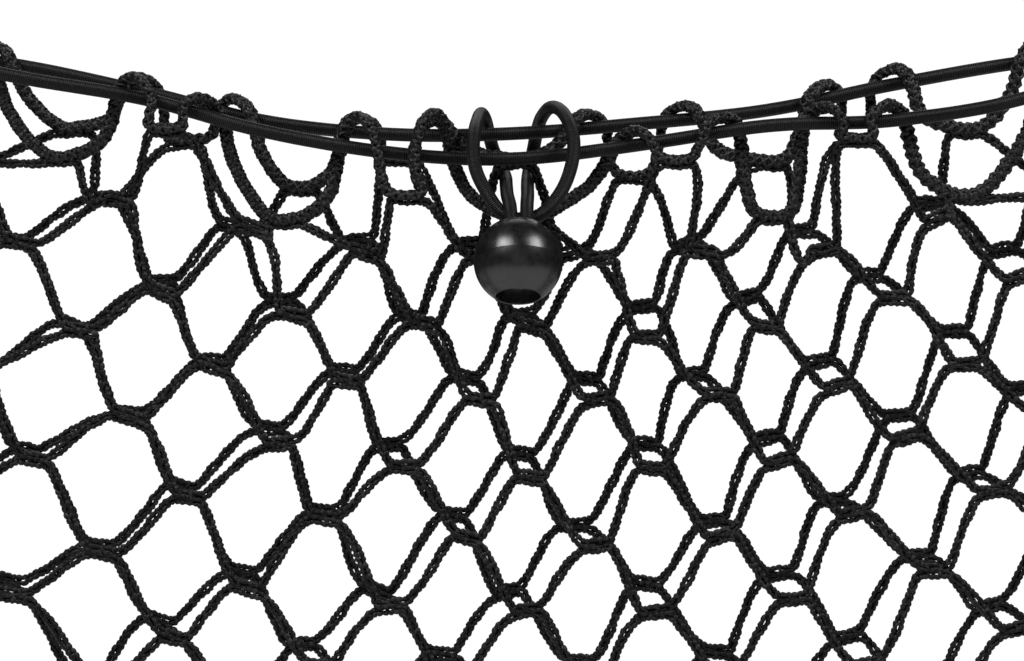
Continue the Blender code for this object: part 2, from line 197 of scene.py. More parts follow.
# The toggle's doubled elastic, from the ball's neck over both runs and back: x, y and drop, in millimetres.
toggleRoute = (
    (-2.1, -20.4, 57.5),
    (-2.1, -18.8, 53.4),
    (-2.4, -14.0, 49.6),
    (-3.2, -8.0, 46.2),
    (-3.5, -2.0, 43.2),
    (-3.8, 4.0, 40.4),
    (-5.4, 8.6, 36.4),
    (-7.6, 10.8, 31.4),
    (-8.8, 10.8, 26.8),
    (-9.8, 9.0, 23.0),
    (-11.0, 4.0, 21.4),
    (-12.2, -4.0, 24.4),
    (-13.0, -9.4, 28.6),
    (-13.2, -11.6, 33.6),
    (-12.4, -12.8, 39.0),
    (-9.6, -14.2, 45.0),
    (-5.0, -13.0, 51.4),
    (0.6, -11.4, 54.2),
    (7.0, -13.0, 51.8),
    (12.6, -14.2, 45.4),
    (15.6, -12.8, 38.0),
    (16.4, -11.6, 31.0),
    (15.4, -9.0, 25.8),
    (12.8, -3.2, 21.0),
    (9.6, 4.4, 19.6),
    (7.0, 9.2, 22.4),
    (5.6, 10.8, 26.8),
    (4.7, 10.8, 31.4),
    (3.7, 8.6, 36.4),
    (3.0, 4.0, 40.4),
    (2.8, -2.0, 43.2),
    (2.8, -8.0, 46.2),
    (2.6, -14.0, 49.6),
    (2.5, -18.8, 53.4),
    (2.5, -20.4, 57.5),
)

# The ball, with a neck bore from above and a knot recess from below.
ball = {
    "place": Vector((0.0, -23.5, -66.0)) * mm,
    "tilt": math.radians(20),
    "radius": 13.0 * mm,
    "boreRadius": 5.0 * mm,
    "recessRadius": 6.5 * mm,
    "recessDepth": 7.0 * mm,
    "edge": 0.35 * mm,
    "seamRise": 0.10 * mm,
    "seamWidth": 1.1 * mm,
    "seamTurns": (0.004, 0.02),
    "edgeFall": 0.6,
    "edgeRun": 3,
    "outsideSteps": 60,
    "segments": 96,
}


def hermite(start, end, startPull, endPull, t):
    return (
        start * (2 * t**3 - 3 * t**2 + 1)
        + startPull * (t**3 - 2 * t**2 + t)
        + end * (3 * t**2 - 2 * t**3)
        + endPull * (t**3 - t**2)
    )


def uneven(*place):  # a fixed value from -1 to 1 for a place in the net
    return random.Random(" ".join(str(part) for part in place)).uniform(-1, 1)


def sideOf(layer):
    return -1 if layer == front else 1


# Where things are

rightward = Vector((1, 0, 0))
mouth = [dict(zip(mouthColumns, row)) for row in mouthRows]


def elasticDrop(layer, x):
    xMm = x / mm
    last = len(mouth) - 1
    span = 0
    while span < last - 1 and xMm > mouth[span + 1]["x"]:
        span += 1
    here, there = mouth[span], mouth[span + 1]
    before, after = mouth[max(span - 1, 0)], mouth[min(span + 2, last)]
    width = there["x"] - here["x"]
    pullHere = (there[layer] - before[layer]) / (there["x"] - before["x"]) * width
    pullThere = (after[layer] - here[layer]) / (after["x"] - here["x"]) * width
    return hermite(here[layer], there[layer], pullHere, pullThere, (xMm - here["x"]) / width) * mm


def mouthHalf(x):  # half the way between the two runs
    drawnIn = math.exp(-((x / elastic["claspReach"]) ** 2))
    return elastic["mouthHalf"] - (elastic["mouthHalf"] - elastic["claspHalf"]) * drawnIn


def columnX(row, column):
    pitch = lattice["pitch"] + lattice["pitchGain"] * min(row, lattice["gainRows"])
    return lattice["middleX"] + pitch * (column + lattice["columnSpread"] * column**3)


def rowDrop(row, x):
    return lattice["firstDrop"] + lattice["rowDrop"] * row - lattice["sag"] * (x - lattice["lowX"]) ** 2


def rimX(row, outward):
    return columnX(row, lattice["firstColumn"] + (0 if outward < 0 else lattice["columns"]))


def layerY(layer, row, x):
    toBottom = (lattice["bottomRow"] - row) * lattice["rowDrop"]
    edge = min(x - rimX(row, -1), rimX(row, 1) - x, toBottom)
    opening = math.sin(math.pi / 2 * min(1.0, max(0.0, edge) / lattice["edgeTaper"]))
    return sideOf(layer) * lattice["pocketHalf"] * opening


def junctionBar(layer, row, index):
    column = lattice["firstColumn"] + index + (0.5 if row % 2 == 0 else 0.0)
    x = columnX(row, column)
    lowX = lattice["lowX"]
    drop = rowDrop(row, x)
    if layer == back:  # it hangs higher, and its rows are lowest further to the left
        x += lattice["backShift"]
        lowX += lattice["backLowShift"]
        drop = rowDrop(row, x - lattice["backLowShift"]) - lattice["backLift"]
    tilt = math.atan(2 * lattice["sag"] * (x - lowX))
    tilt += lattice["unevenTilt"] * uneven(layer, row, index, "tilt")
    x += lattice["unevenPlace"] * uneven(layer, row, index, "x")
    drop += lattice["unevenPlace"] * uneven(layer, row, index, "drop")
    heading = Vector((math.cos(tilt), 0, math.sin(tilt)))
    return Vector((x, layerY(layer, row, x), -drop)), heading


def stopAt(left, right, heading, before=(), within=()):
    return {
        "left": left,
        "right": right,
        "heading": heading,
        "before": list(before),
        "within": list(within),
    }


def sideStub(layer, row, outward):  # a tie from the selvage into the layer
    x = rimX(row, outward)
    drop = border["topCornerDrop"] if row < 0 else rowDrop(row, x)
    rise = border["stubSpacing"] if layer == back else 0
    rim = Vector((x, 0, rise - drop))
    inner = rim + Vector((-outward * border["stub"], 0, 0))
    inner.y = layerY(layer, row, inner.x)
    return rim, inner


def bottomStub(layer, index):
    row = lattice["bottomRow"]
    x = columnX(row, lattice["firstColumn"] + 0.5 + index)
    x += sideOf(layer) * border["stubSpacing"] / 2
    drop = rowDrop(row, x)
    depth = sideOf(layer) * lattice["pocketHalf"] * border["stub"] / lattice["edgeTaper"]
    return Vector((x, 0, -drop)), Vector((x, depth, border["stub"] - drop))


def scallops(layer):
    return [dict(zip(scallopColumns, row)) for row in scallopRows[layer]]


def dipPlaces(layer, scallop):  # the lowest two points of one scallop
    x = scallop["dipX"] * mm
    y = sideOf(layer) * mouthHalf(x) + scallop["side"] * border["wrap"]
    z = -elasticDrop(layer, x) - scallop["dipFall"] * mm
    return [Vector((x + across * border["dipHalf"], y, z)) for across in (-1, 1)]


def overElastic(layer, x, rise, sideBefore, sideAfter):
    # the turn over the elastic in degrees, and how far across the bump that is
    climb = ((0, -1.0), (45, -0.62), (90, 0.0), (135, 0.62), (180, 1.0))
    places = []
    for angle, across in climb:
        turn = math.radians(angle)
        placeX = x + across * border["bumpHalf"]
        out = border["wrap"] * (sideBefore if angle < 90 else sideAfter) * abs(math.cos(turn))
        up = rise * math.sin(turn) - elasticDrop(layer, placeX)
        places.append(Vector((placeX, sideOf(layer) * mouthHalf(placeX) + out, up)))
    return places


def borderFoot(layer, legX, outward, side):
    x = legX + outward * border["footReach"]
    y = sideOf(layer) * mouthHalf(x) + side * border["wrap"]
    return Vector((x, y, -elasticDrop(layer, x) - border["footFall"]))


def borderPoints(layer):
    rows = scallops(layer)
    endBump = border["frontEndBump"] if layer == front else border["backEndBump"]
    bumps = [row["bumpX"] * mm for row in rows] + [endBump]
    rises = [row["bumpRise"] * mm for row in rows] + [border["endBumpRise"]]
    sides = [-rows[0]["side"]] + [row["side"] for row in rows] + [-rows[-1]["side"]]
    places = list(sideStub(layer, lattice["hemRow"], -1))
    places.append(borderFoot(layer, bumps[0] - border["bumpHalf"], -1, sides[0]))
    for number, (x, rise) in enumerate(zip(bumps, rises)):
        places += overElastic(layer, x, rise, sides[number], sides[number + 1])
        if number == len(rows):
            break
        low = dipPlaces(layer, rows[number])
        fall = rows[number]["dipFall"] * mm
        legXs = (x + border["bumpHalf"], bumps[number + 1] - border["bumpHalf"])
        shoulders = []
        for legX, lowest in zip(legXs, low):
            shoulderX = legX + (lowest.x - legX) * border["shoulderIn"]
            shoulderZ = -elasticDrop(layer, legX) - fall * border["shoulderDown"]
            shoulders.append(Vector((shoulderX, lowest.y, shoulderZ)))
        if fall > border["deepFall"]:
            low = shoulders[:1] + low + shoulders[1:]
        places += low
    places.append(borderFoot(layer, bumps[-1] + border["bumpHalf"], 1, sides[-1]))
    places += reversed(sideStub(layer, lattice["hemRow"], 1))
    return places


def selvagePoints():
    sides = {}
    for outward in (-1, 1):
        sides[outward] = [
            sideStub(layer, row, outward)[0]
            for row in range(lattice["hemRow"], lattice["bottomRow"], 2)
            for layer in (back, front)
        ]
    row = lattice["bottomRow"]
    corners = [Vector((rimX(row, out), 0, -rowDrop(row, rimX(row, out)))) for out in (-1, 1)]
    bottom = [
        bottomStub(layer, index)[0]
        for index in range(lattice["columns"])
        for layer in (front, back)
    ]
    return sides[-1] + corners[:1] + bottom + corners[1:] + sides[1][::-1]


def rowStops(layer, row):  # what a zigzag twine passes in one row, from left to right
    if row == lattice["bottomRow"]:
        stops = []
        apart = rightward * border["stubSplit"]
        for index in range(lattice["columns"]):
            rim, top = bottomStub(layer, index)
            within = (rim - apart, rim + apart)
            stops.append(stopAt(top - apart, top + apart, rightward, within=within))
        return stops
    if row < 0:
        stops = [stopAt(*dipPlaces(layer, scallop), rightward) for scallop in scallops(layer)]
    else:
        stops = []
        for index in range(row % 2, lattice["columns"]):
            centre, heading = junctionBar(layer, row, index)
            reach = heading * twine["barHalf"]
            stops.append(stopAt(centre - reach, centre + reach, heading))
    if row % 2:
        ends = []
        for outward in (-1, 1):
            rim, inner = sideStub(layer, row, outward)
            ends.append(stopAt(inner, inner, rightward, before=(rim,)))
        stops = [ends[0]] + stops + [ends[1]]
    return stops


def legPoints(layer, row, upper, lower, leftward, index):
    # the leg from an upper stop down to a lower one: a shallow one follows their headings, a steep one less
    direction = -1 if leftward else 1
    first = upper["left"] if leftward else upper["right"]
    last = lower["right"] if leftward else lower["left"]
    reach = last - first
    span = reach.length
    leastReach = twine["dipCurve"] * span if row < 0 and span > twine["slackLength"] else 0.0
    upperReach = max(leastReach, twine["legCurve"] * direction * reach.dot(upper["heading"]))
    lowerReach = twine["lowerCurve"] * twine["legCurve"] * direction * reach.dot(lower["heading"])
    lowerReach = max(0.0, lowerReach)
    across = reach.cross(Vector((0, 1, 0))).normalized()
    way = "left" if leftward else "right"
    bend = across * twine["bend"] * uneven(layer, row, index, way, "bend")
    if row < 0 and span < twine["slackLength"]:
        # the depth of a shallow bow of that length over this span
        slack = math.sqrt(3 / 8 * span * (twine["slackLength"] - span))
        bend += Vector((0, sideOf(layer) * twine["slackOut"], -twine["slackDown"])) * slack
    places = []
    for step in range(twine["legSteps"] + 1):
        t = step / twine["legSteps"]
        leaving = upper["heading"] * direction * upperReach
        arriving = lower["heading"] * direction * lowerReach
        spot = hermite(first, last, leaving, arriving, t)
        places.append(spot + bend * math.sin(math.pi * t))
    return places


def offsetStop(stop, side, row):
    # a bar's twines lie side by side, and a dip's lies under the border
    moved = dict(stop)
    if stop["before"] or stop["within"]:
        return moved
    heading = stop["heading"]
    across = Vector((-heading.z, 0, heading.x)) * side
    split = twine["barSplit"]
    turn = Vector((0, twine["barTwist"] * side, 0))
    if row < 0:
        split = border["twineBelow"]
        turn = Vector()
    moved["left"] = stop["left"] + across * split - turn
    moved["right"] = stop["right"] + across * split + turn
    return moved


def zigzagPoints(layer, row):
    upper = [offsetStop(stop, -1, row) for stop in rowStops(layer, row)]
    lower = [offsetStop(stop, 1, row + 1) for stop in rowStops(layer, row + 1)]
    outer, inner = (upper, lower) if row % 2 else (lower, upper)
    order = []
    for pair in zip(outer, inner):
        order += pair
    order.append(outer[-1])
    places = list(order[0]["before"]) + [order[0]["left"]]
    for number in range(len(order) - 1):
        here, there = order[number], order[number + 1]
        hereIsUpper = (number % 2 == 0) == bool(row % 2)
        upperNumber = number if hereIsUpper else number + 1
        # the rows' own counting: odd rows count their left stub as 0, even rows their first bar
        index = upperNumber // 2 if row % 2 else (upperNumber - 1) // 2
        if hereIsUpper:
            leg = legPoints(layer, row, here, there, False, index)
        else:
            leg = legPoints(layer, row, there, here, True, index)[::-1]
        places += leg[1:]
        if there["within"]:
            places += there["within"] + [there["right"]]
        elif number < len(order) - 2:
            places += [there["left"].lerp(there["right"], 0.5), there["right"]]
    places += order[-1]["before"]
    return places


def ringPoints():
    steps = round(2 * elastic["halfLength"] / elastic["runStep"])
    xs = [elastic["halfLength"] * (2 * step / steps - 1) for step in range(steps + 1)]
    runs = {}
    for layer in (front, back):
        side = sideOf(layer)
        runs[layer] = [Vector((x, side * mouthHalf(x), -elasticDrop(layer, x))) for x in xs]
    places = list(runs[front]) + cornerBight(runs[front][-1], 1)
    places += list(reversed(runs[back])) + cornerBight(runs[back][0], -1)
    return places


def cornerBight(start, outward):
    places = []
    for step in range(1, elastic["turnSteps"]):
        angle = math.pi * step / elastic["turnSteps"]
        out = outward * elastic["mouthHalf"] * math.sin(angle)
        rise = -start.z * math.sin(angle)
        places.append(Vector((start.x + out, start.y * math.cos(angle), start.z + rise)))
    return places


# Tubes

def evenRoute(places, step, closed=False):
    # points a step apart on the smooth curve through the given ones
    between = 24
    known = np.array([tuple(place) for place in places])
    if closed:
        known = np.vstack([known[-1:], known, known[:2]])
    else:
        known = np.vstack([2 * known[:1] - known[1:2], known, 2 * known[-1:] - known[-2:-1]])
    before, here, there, after = known[:-3], known[1:-2], known[2:-1], known[3:]
    # pulls by distance, so that close points don't make the curve swing
    gapBefore = np.linalg.norm(here - before, axis=1, keepdims=True)
    gap = np.linalg.norm(there - here, axis=1, keepdims=True)
    gapAfter = np.linalg.norm(after - there, axis=1, keepdims=True)
    pullHere = (there - before) / (gapBefore + gap) * gap
    pullThere = (after - here) / (gap + gapAfter) * gap
    fine = []
    for t in np.linspace(0, 1, between, endpoint=False):
        fine.append(hermite(here, there, pullHere, pullThere, t))
    route = np.stack(fine, axis=1).reshape(-1, 3)
    route = np.vstack([route, there[-1:]])
    length = np.concatenate([[0], np.cumsum(np.linalg.norm(np.diff(route, axis=0), axis=1))])
    count = max(4, round(length[-1] / step))
    marks = np.linspace(0, length[-1], count + 1)
    even = np.stack([np.interp(marks, length, route[:, axis]) for axis in range(3)], axis=1)
    return (even[:-1] if closed else even), length[-1]


def wavered(route, amount, step, seed):
    # a slow sideways drift, fading out at both ends
    draws = random.Random(seed)
    count = len(route)
    along = np.arange(count) * step
    drift = np.zeros((count, 3))
    for axis in range(3):
        for wave in stray["waves"]:
            drift[:, axis] += np.sin(2 * math.pi * (along / wave + draws.random())) / len(stray["waves"])
    fromEnd = np.minimum(np.arange(count), count - 1 - np.arange(count))
    fade = np.minimum(1, fromEnd / stray["fadePoints"])
    return route + drift * amount * fade[:, None]


def crossFrames(route, closed):
    if closed:
        tangent = np.roll(route, -1, axis=0) - np.roll(route, 1, axis=0)
    else:
        tangent = np.gradient(route, axis=0)
    tangent /= np.linalg.norm(tangent, axis=1, keepdims=True)
    side = np.zeros_like(route)
    start = np.array([0.0, -1.0, 0.0])
    side[0] = start - tangent[0] * np.dot(start, tangent[0])
    side[0] /= np.linalg.norm(side[0])
    for number in range(1, len(route)):
        carried = side[number - 1] - tangent[number] * np.dot(side[number - 1], tangent[number])
        side[number] = carried / np.linalg.norm(carried)
    up = np.cross(tangent, side)
    if closed:
        # the leftover turn is shared out, so the last section meets the first
        last = side[-1] - tangent[0] * np.dot(side[-1], tangent[0])
        leftover = math.atan2(np.dot(last, up[0]), np.dot(last, side[0]))
        share = -leftover * np.arange(len(route)) / len(route)
        cos, sin = np.cos(share)[:, None], np.sin(share)[:, None]
        side, up = side * cos + up * sin, up * cos - side * sin
    return side, up


def facingFrames(route):
    # the band of a net's twine lies flat in its layer, so its side looks out along -Y everywhere
    tangent = np.gradient(route, axis=0)
    tangent /= np.linalg.norm(tangent, axis=1, keepdims=True)
    outward = np.array([0.0, -1.0, 0.0])
    side = outward - tangent * (tangent @ outward)[:, None]
    side /= np.linalg.norm(side, axis=1, keepdims=True)
    return side, np.cross(tangent, side)


def braidStrands(route, cord, draws):
    # half of the strands wind one way and half the other, over and under each other
    side, up = crossFrames(route, False)
    along = np.arange(len(route)) * np.linalg.norm(np.diff(route, axis=0), axis=1).mean()
    opened = 1 + cord["opened"] * slowDrift(along, draws)
    start = draws.random()
    strands = []
    for number in range(cord["strands"]):
        way = 1 - 2 * (number % 2)
        turn = 2 * math.pi * (way * (along / cord["turn"] + start) + number / cord["strands"])
        reach = opened * (1 + way * cord["braided"] * np.sin(cord["strands"] / 2 * turn))
        across = (cord["spread"][0] * np.cos(turn) * reach)[:, None]
        upward = (cord["spread"][1] * np.sin(turn) * reach)[:, None]
        radii = np.full(len(route), cord["strand"])
        strands.append((route + side * across + up * upward, radii, along / mm, cord["sides"]))
    strands.append((route, np.full(len(route), cord["core"]), along / mm, cord["sides"]))
    return strands


def chainStrands(route, cord, draws):
    # two chains of loops side by side with a thread laced between them, on a band that slowly turns, and
    # pinholes where the chains part
    side, up = facingFrames(route)
    along = np.arange(len(route)) * np.linalg.norm(np.diff(route, axis=0), axis=1).mean()
    face = (cord["faceTurn"] * slowDrift(along, draws))[:, None]
    outward = up * np.cos(face) + side * np.sin(face)
    level = side * np.cos(face) - up * np.sin(face)
    half = cord["half"] * (1 + cord["opened"] * slowDrift(along, draws))
    loops = along / cord["loop"]
    loops = loops + cord["loopDrift"] * slowDrift(along * cord["loopDriftTimes"], draws)
    strands = []
    for number, way in enumerate((-1, 1)):
        turned = loops + 0.25 * number  # the second chain is a quarter of a loop ahead
        turn = 2 * math.pi * turned
        across = (way * (half + cord["sway"] * np.cos(turn)))[:, None]
        through = (cord["sway"] * np.sin(turn))[:, None]
        radii = cord["strand"] * (1 + cord["swell"] * np.cos(turn))
        chain = route + outward * across + level * through
        strands.append((chain, radii, turned * cord["loop"] / mm, cord["sides"]))
    laced = math.pi * loops
    across = (half * np.sin(laced))[:, None]
    through = (cord["inlayRise"] * np.cos(laced))[:, None]
    radii = np.full(len(route), cord["inlay"])
    thread = route + outward * across + level * through
    strands.append((thread, radii, loops * cord["loop"] / mm, cord["inlaySides"]))
    return strands


def slowDrift(along, draws):  # from -1 to 1, over a couple of centimetres
    drift = np.sin(2 * math.pi * (along / stray["longDrift"] + draws.random()))
    return (drift + np.sin(2 * math.pi * (along / stray["shortDrift"] + draws.random()))) / 2


class TubeMesh:
    # many tubes gathered in one mesh, each corner with its place along (mm) and around (turns) its tube

    def __init__(self):
        self.vertices = []
        self.faces = []
        self.uvs = []
        self.count = 0
        self.length = 0.0

    def addCord(self, route, cord, seed):
        strandsOf = chainStrands if "chains" in cord else braidStrands
        for strand, radii, along, sides in strandsOf(route, cord, random.Random(seed)):
            self.addTube(strand, radii, along, sides)
        self.length += np.linalg.norm(np.diff(route, axis=0), axis=1).sum()

    def addTube(self, route, radii, along, sides, closed=False):
        count = len(route)
        side, up = crossFrames(route, closed)
        around = np.arange(sides) / sides
        angle = 2 * math.pi * around
        spoke = side[:, None, :] * np.cos(angle)[None, :, None]
        spoke = spoke + up[:, None, :] * np.sin(angle)[None, :, None]
        radii = np.broadcast_to(radii, count).copy()
        if not closed:
            radii[[0, -1]] *= stray["endTaper"]
        vertices = route[:, None, :] + spoke * radii[:, None, None]
        self.vertices.append(vertices.reshape(-1, 3))
        rings = count if closed else count - 1
        here = np.arange(rings)[:, None] * sides
        there = (np.arange(rings)[:, None] + 1) % count * sides
        turn = np.arange(sides)[None, :]
        beside = (turn + 1) % sides
        quads = np.stack([here + turn, here + beside, there + beside, there + turn], axis=-1)
        self.faces.append(quads.reshape(-1, 4) + self.count)
        alongHere = np.broadcast_to(along[:rings, None], (rings, sides))
        onward = np.append(along, 2 * along[-1] - along[-2])
        alongThere = np.broadcast_to(onward[1:rings + 1, None], (rings, sides))
        aroundHere = np.broadcast_to(around[None, :], (rings, sides))
        aroundNext = aroundHere + 1 / sides
        uv = np.stack(
            [
                np.stack([alongHere, aroundHere], axis=-1),
                np.stack([alongHere, aroundNext], axis=-1),
                np.stack([alongThere, aroundNext], axis=-1),
                np.stack([alongThere, aroundHere], axis=-1),
            ],
            axis=2,
        )
        self.uvs.append(uv.reshape(-1, 2))
        if not closed:
            self.addCaps(count, sides)
        self.count += count * sides

    def addCaps(self, count, sides):
        ends = (np.arange(sides)[::-1], np.arange(sides) + (count - 1) * sides)
        for ring in ends:
            fan = np.stack([np.full(sides - 2, ring[0]), ring[1:-1], ring[2:]], axis=-1)
            quads = np.concatenate([fan, np.full((sides - 2, 1), -1)], axis=1)
            quads[:, :3] += self.count
            self.faces.append(quads)
            self.uvs.append(np.zeros(((sides - 2) * 3, 2)))

    def build(self, name, material):
        vertices = np.concatenate(self.vertices)
        corners = []
        starts = []
        total = 0
        for block in self.faces:
            size = 3 if (block[:, -1] < 0).any() else 4
            corners.append(block[:, :size].reshape(-1))
            starts.append(total + np.arange(len(block)) * size)
            total += len(block) * size
        corners = np.concatenate(corners)
        starts = np.concatenate(starts)
        mesh = bpy.data.meshes.new(name)
        mesh.vertices.add(len(vertices))
        mesh.vertices.foreach_set("co", vertices.astype(np.float32).ravel())
        mesh.loops.add(len(corners))
        mesh.loops.foreach_set("vertex_index", corners.astype(np.int32))
        mesh.polygons.add(len(starts))
        mesh.polygons.foreach_set("loop_start", starts.astype(np.int32))
        mesh.update(calc_edges=True)
        layer = mesh.uv_layers.new(name="cord")
        layer.data.foreach_set("uv", np.concatenate(self.uvs).astype(np.float32).ravel())
        mesh.shade_smooth()
        mesh.validate()
        piece = bpy.data.objects.new(name, mesh)
        bpy.context.scene.collection.objects.link(piece)
        mesh.materials.append(material)
        return piece


# Shader groups and materials

def mathNode(tree, operation, first, second=None, third=None):
    node = tree.nodes.new("ShaderNodeMath")
    node.operation = operation
    for socket, value in zip(node.inputs, (first, second, third)):
        if value is None:
            continue
        if isinstance(value, (int, float)):
            socket.default_value = value
        else:
            tree.links.new(value, socket)
    return node.outputs[0]


def newGroup(name, inputs, outputs):
    tree = bpy.data.node_groups.new(name, "ShaderNodeTree")
    for socketName, kind, value in inputs:
        socket = tree.interface.new_socket(socketName, in_out="INPUT", socket_type=kind)
        if value is not None:
            socket.default_value = value
    for socketName, kind in outputs:
        tree.interface.new_socket(socketName, in_out="OUTPUT", socket_type=kind)
    return tree, tree.nodes.new("NodeGroupInput"), tree.nodes.new("NodeGroupOutput")


def stitchGroup():
    # slanting stitches in columns round a cord, from its place along (mm) and around (turns)
    tree, given, made = newGroup(
        "stitches",
        (
            ("Place", "NodeSocketVector", None),
            ("Stitch mm", "NodeSocketFloat", 1.0),
            ("Wales", "NodeSocketFloat", 2.0),
            ("Slant", "NodeSocketFloat", 0.4),
            ("Groove", "NodeSocketFloat", 0.5),
        ),
        (("Height", "NodeSocketFloat"), ("Crown", "NodeSocketFloat")),
    )
    split = tree.nodes.new("ShaderNodeSeparateXYZ")
    tree.links.new(given.outputs["Place"], split.inputs[0])
    rows = mathNode(tree, "DIVIDE", split.outputs["X"], given.outputs["Stitch mm"])
    column = mathNode(tree, "MULTIPLY", split.outputs["Y"], given.outputs["Wales"])
    within = mathNode(tree, "FRACT", column)
    centred = mathNode(tree, "SUBTRACT", within, 0.5)
    slope = mathNode(tree, "MULTIPLY", mathNode(tree, "ABSOLUTE", centred), 2.0)
    stagger = mathNode(tree, "MULTIPLY", mathNode(tree, "FLOOR", column), 0.5)
    staggered = mathNode(tree, "ADD", rows, stagger)
    phase = mathNode(tree, "MULTIPLY_ADD", slope, given.outputs["Slant"], staggered)
    wave = mathNode(tree, "COSINE", mathNode(tree, "MULTIPLY", phase, 2 * math.pi))
    crown = mathNode(tree, "MULTIPLY_ADD", wave, 0.5, 0.5)
    arm = mathNode(tree, "SINE", mathNode(tree, "MULTIPLY", slope, math.pi))
    armed = mathNode(tree, "POWER", mathNode(tree, "MAXIMUM", arm, 0.0), 0.5)
    sunk = mathNode(tree, "MULTIPLY", mathNode(tree, "SUBTRACT", 1.0, armed), given.outputs["Groove"])
    height = mathNode(tree, "SUBTRACT", crown, sunk)
    tree.links.new(height, made.inputs["Height"])
    # the crown is also the mask where the materials paint a highlight
    tree.links.new(crown, made.inputs["Crown"])
    return tree


def noiseNode(tree, place, scale, detail):
    node = tree.nodes.new("ShaderNodeTexNoise")
    tree.links.new(place, node.inputs["Vector"])
    node.inputs["Detail"].default_value = detail
    if isinstance(scale, (int, float)):
        node.inputs["Scale"].default_value = scale
    else:
        tree.links.new(scale, node.inputs["Scale"])
    return node.outputs[0]


def bumpNode(tree, shader, height, strength, distance):
    bump = tree.nodes.new("ShaderNodeBump")
    bump.inputs["Strength"].default_value = strength
    bump.inputs["Distance"].default_value = distance
    tree.links.new(height, bump.inputs["Height"])
    tree.links.new(bump.outputs[0], shader.inputs["Normal"])


# Noise scales: the filaments' stretch along and round the cord, and the others to a metre. The ranges are
# the middle of what a noise gives, which is spread over the whole.
fibreNoise = {
    "stretch": (0.8, 26.0, 1.0),
    "drift": 60.0,
    "driftRange": (0.3, 0.7),
    "driftGain": (0.5, 1.3),
    # the size and share of the painted glint specks
    "glintSpecks": 620.0,
    "glintSpeckRange": (0.46, 0.66),
}


def fibreGroup():
    # fine filaments, specks a stitch wide that the materials use as painted glints, and a light and dark
    # drift over centimetres
    tree, given, made = newGroup(
        "filaments",
        (
            ("Place", "NodeSocketVector", None),
            ("Point", "NodeSocketVector", None),
            ("Fineness", "NodeSocketFloat", 3.0),
        ),
        (("Height", "NodeSocketFloat"), ("Tone", "NodeSocketFloat"), ("Glint speck", "NodeSocketFloat")),
    )
    stretch = tree.nodes.new("ShaderNodeVectorMath")
    stretch.operation = "MULTIPLY"
    tree.links.new(given.outputs["Place"], stretch.inputs[0])
    stretch.inputs[1].default_value = fibreNoise["stretch"]
    point = given.outputs["Point"]
    strands = noiseNode(tree, stretch.outputs[0], given.outputs["Fineness"], 2.0)
    drift = noiseNode(tree, point, fibreNoise["drift"], 3.0)
    glintSpecks = noiseNode(tree, point, fibreNoise["glintSpecks"], 1.0)
    tree.links.new(strands, made.inputs["Height"])
    tree.links.new(drift, made.inputs["Tone"])
    tree.links.new(glintSpecks, made.inputs["Glint speck"])
    return tree


stitchTree = stitchGroup()
fibreTree = fibreGroup()


def placedGroup(tree, nodeTree, values):
    node = tree.nodes.new("ShaderNodeGroup")
    node.node_tree = nodeTree
    for name, value in values.items():
        if isinstance(value, (int, float)):
            node.inputs[name].default_value = value
        else:
            tree.links.new(value, node.inputs[name])
    return node


def ramp(tree, value, stops):
    node = tree.nodes.new("ShaderNodeValToRGB")
    elements = node.color_ramp.elements
    while len(elements) < len(stops):
        elements.new(0.5)
    for element, (position, colour) in zip(elements, stops):
        element.position = position
        element.color = (*colour, 1.0)
    tree.links.new(value, node.inputs[0])
    return node.outputs[0]


def mapRange(tree, value, low, high, fromLow=0.0, fromHigh=1.0):
    node = tree.nodes.new("ShaderNodeMapRange")
    node.inputs["From Min"].default_value = fromLow
    node.inputs["From Max"].default_value = fromHigh
    node.inputs["To Min"].default_value = low
    node.inputs["To Max"].default_value = high
    tree.links.new(value, node.inputs["Value"])
    return node.outputs[0]


def grey(value, blue=1.03):
    return (value, value, value * blue)


def cordMaterial(name, look):
    material = bpy.data.materials.new(name)
    material.use_nodes = True
    tree = material.node_tree
    shader = tree.nodes["Principled BSDF"]
    place = tree.nodes.new("ShaderNodeUVMap")
    place.uv_map = "cord"
    point = tree.nodes.new("ShaderNodeTexCoord")
    stitches = placedGroup(tree, stitchTree, {
        "Place": place.outputs[0],
        "Stitch mm": look["stitch"],
        "Wales": look["wales"],
        "Slant": look["slant"],
        "Groove": look["groove"],
    })
    fibres = placedGroup(tree, fibreTree, {
        "Place": place.outputs[0],
        "Point": point.outputs["Object"],
        "Fineness": look["fineness"],
    })
    # The base colour is painted light: the stitch crowns carry a painted highlight, broken into painted
    # glint specks, and a random tone drift scales it; elsewhere the cord keeps its own near-black.
    glintSpeck = mapRange(tree, fibres.outputs["Glint speck"], 1 - look["glintSpecks"], 1.0, *fibreNoise["glintSpeckRange"])
    tone = mapRange(tree, fibres.outputs["Tone"], *fibreNoise["driftGain"], *fibreNoise["driftRange"])
    crownHighlight = mathNode(tree, "MULTIPLY", stitches.outputs["Crown"], glintSpeck)
    crownHighlightAndTone = mathNode(tree, "MULTIPLY", crownHighlight, tone)
    colour = ramp(tree, crownHighlightAndTone, ((0.0, grey(look["dark"])), (1.0, grey(look["light"]))))
    tree.links.new(colour, shader.inputs["Base Color"])
    rough = mapRange(tree, fibres.outputs["Height"], look["roughLow"], look["roughHigh"])
    tree.links.new(rough, shader.inputs["Roughness"])
    shader.inputs["Specular IOR Level"].default_value = look["gloss"]
    stitchRise = mathNode(tree, "MULTIPLY", stitches.outputs["Height"], look["stitchHeight"])
    fibreRise = fibres.outputs["Height"]
    height = mathNode(tree, "MULTIPLY_ADD", fibreRise, look["fibreHeight"], stitchRise)
    bumpNode(tree, shader, height, 1.0, mm)
    return material
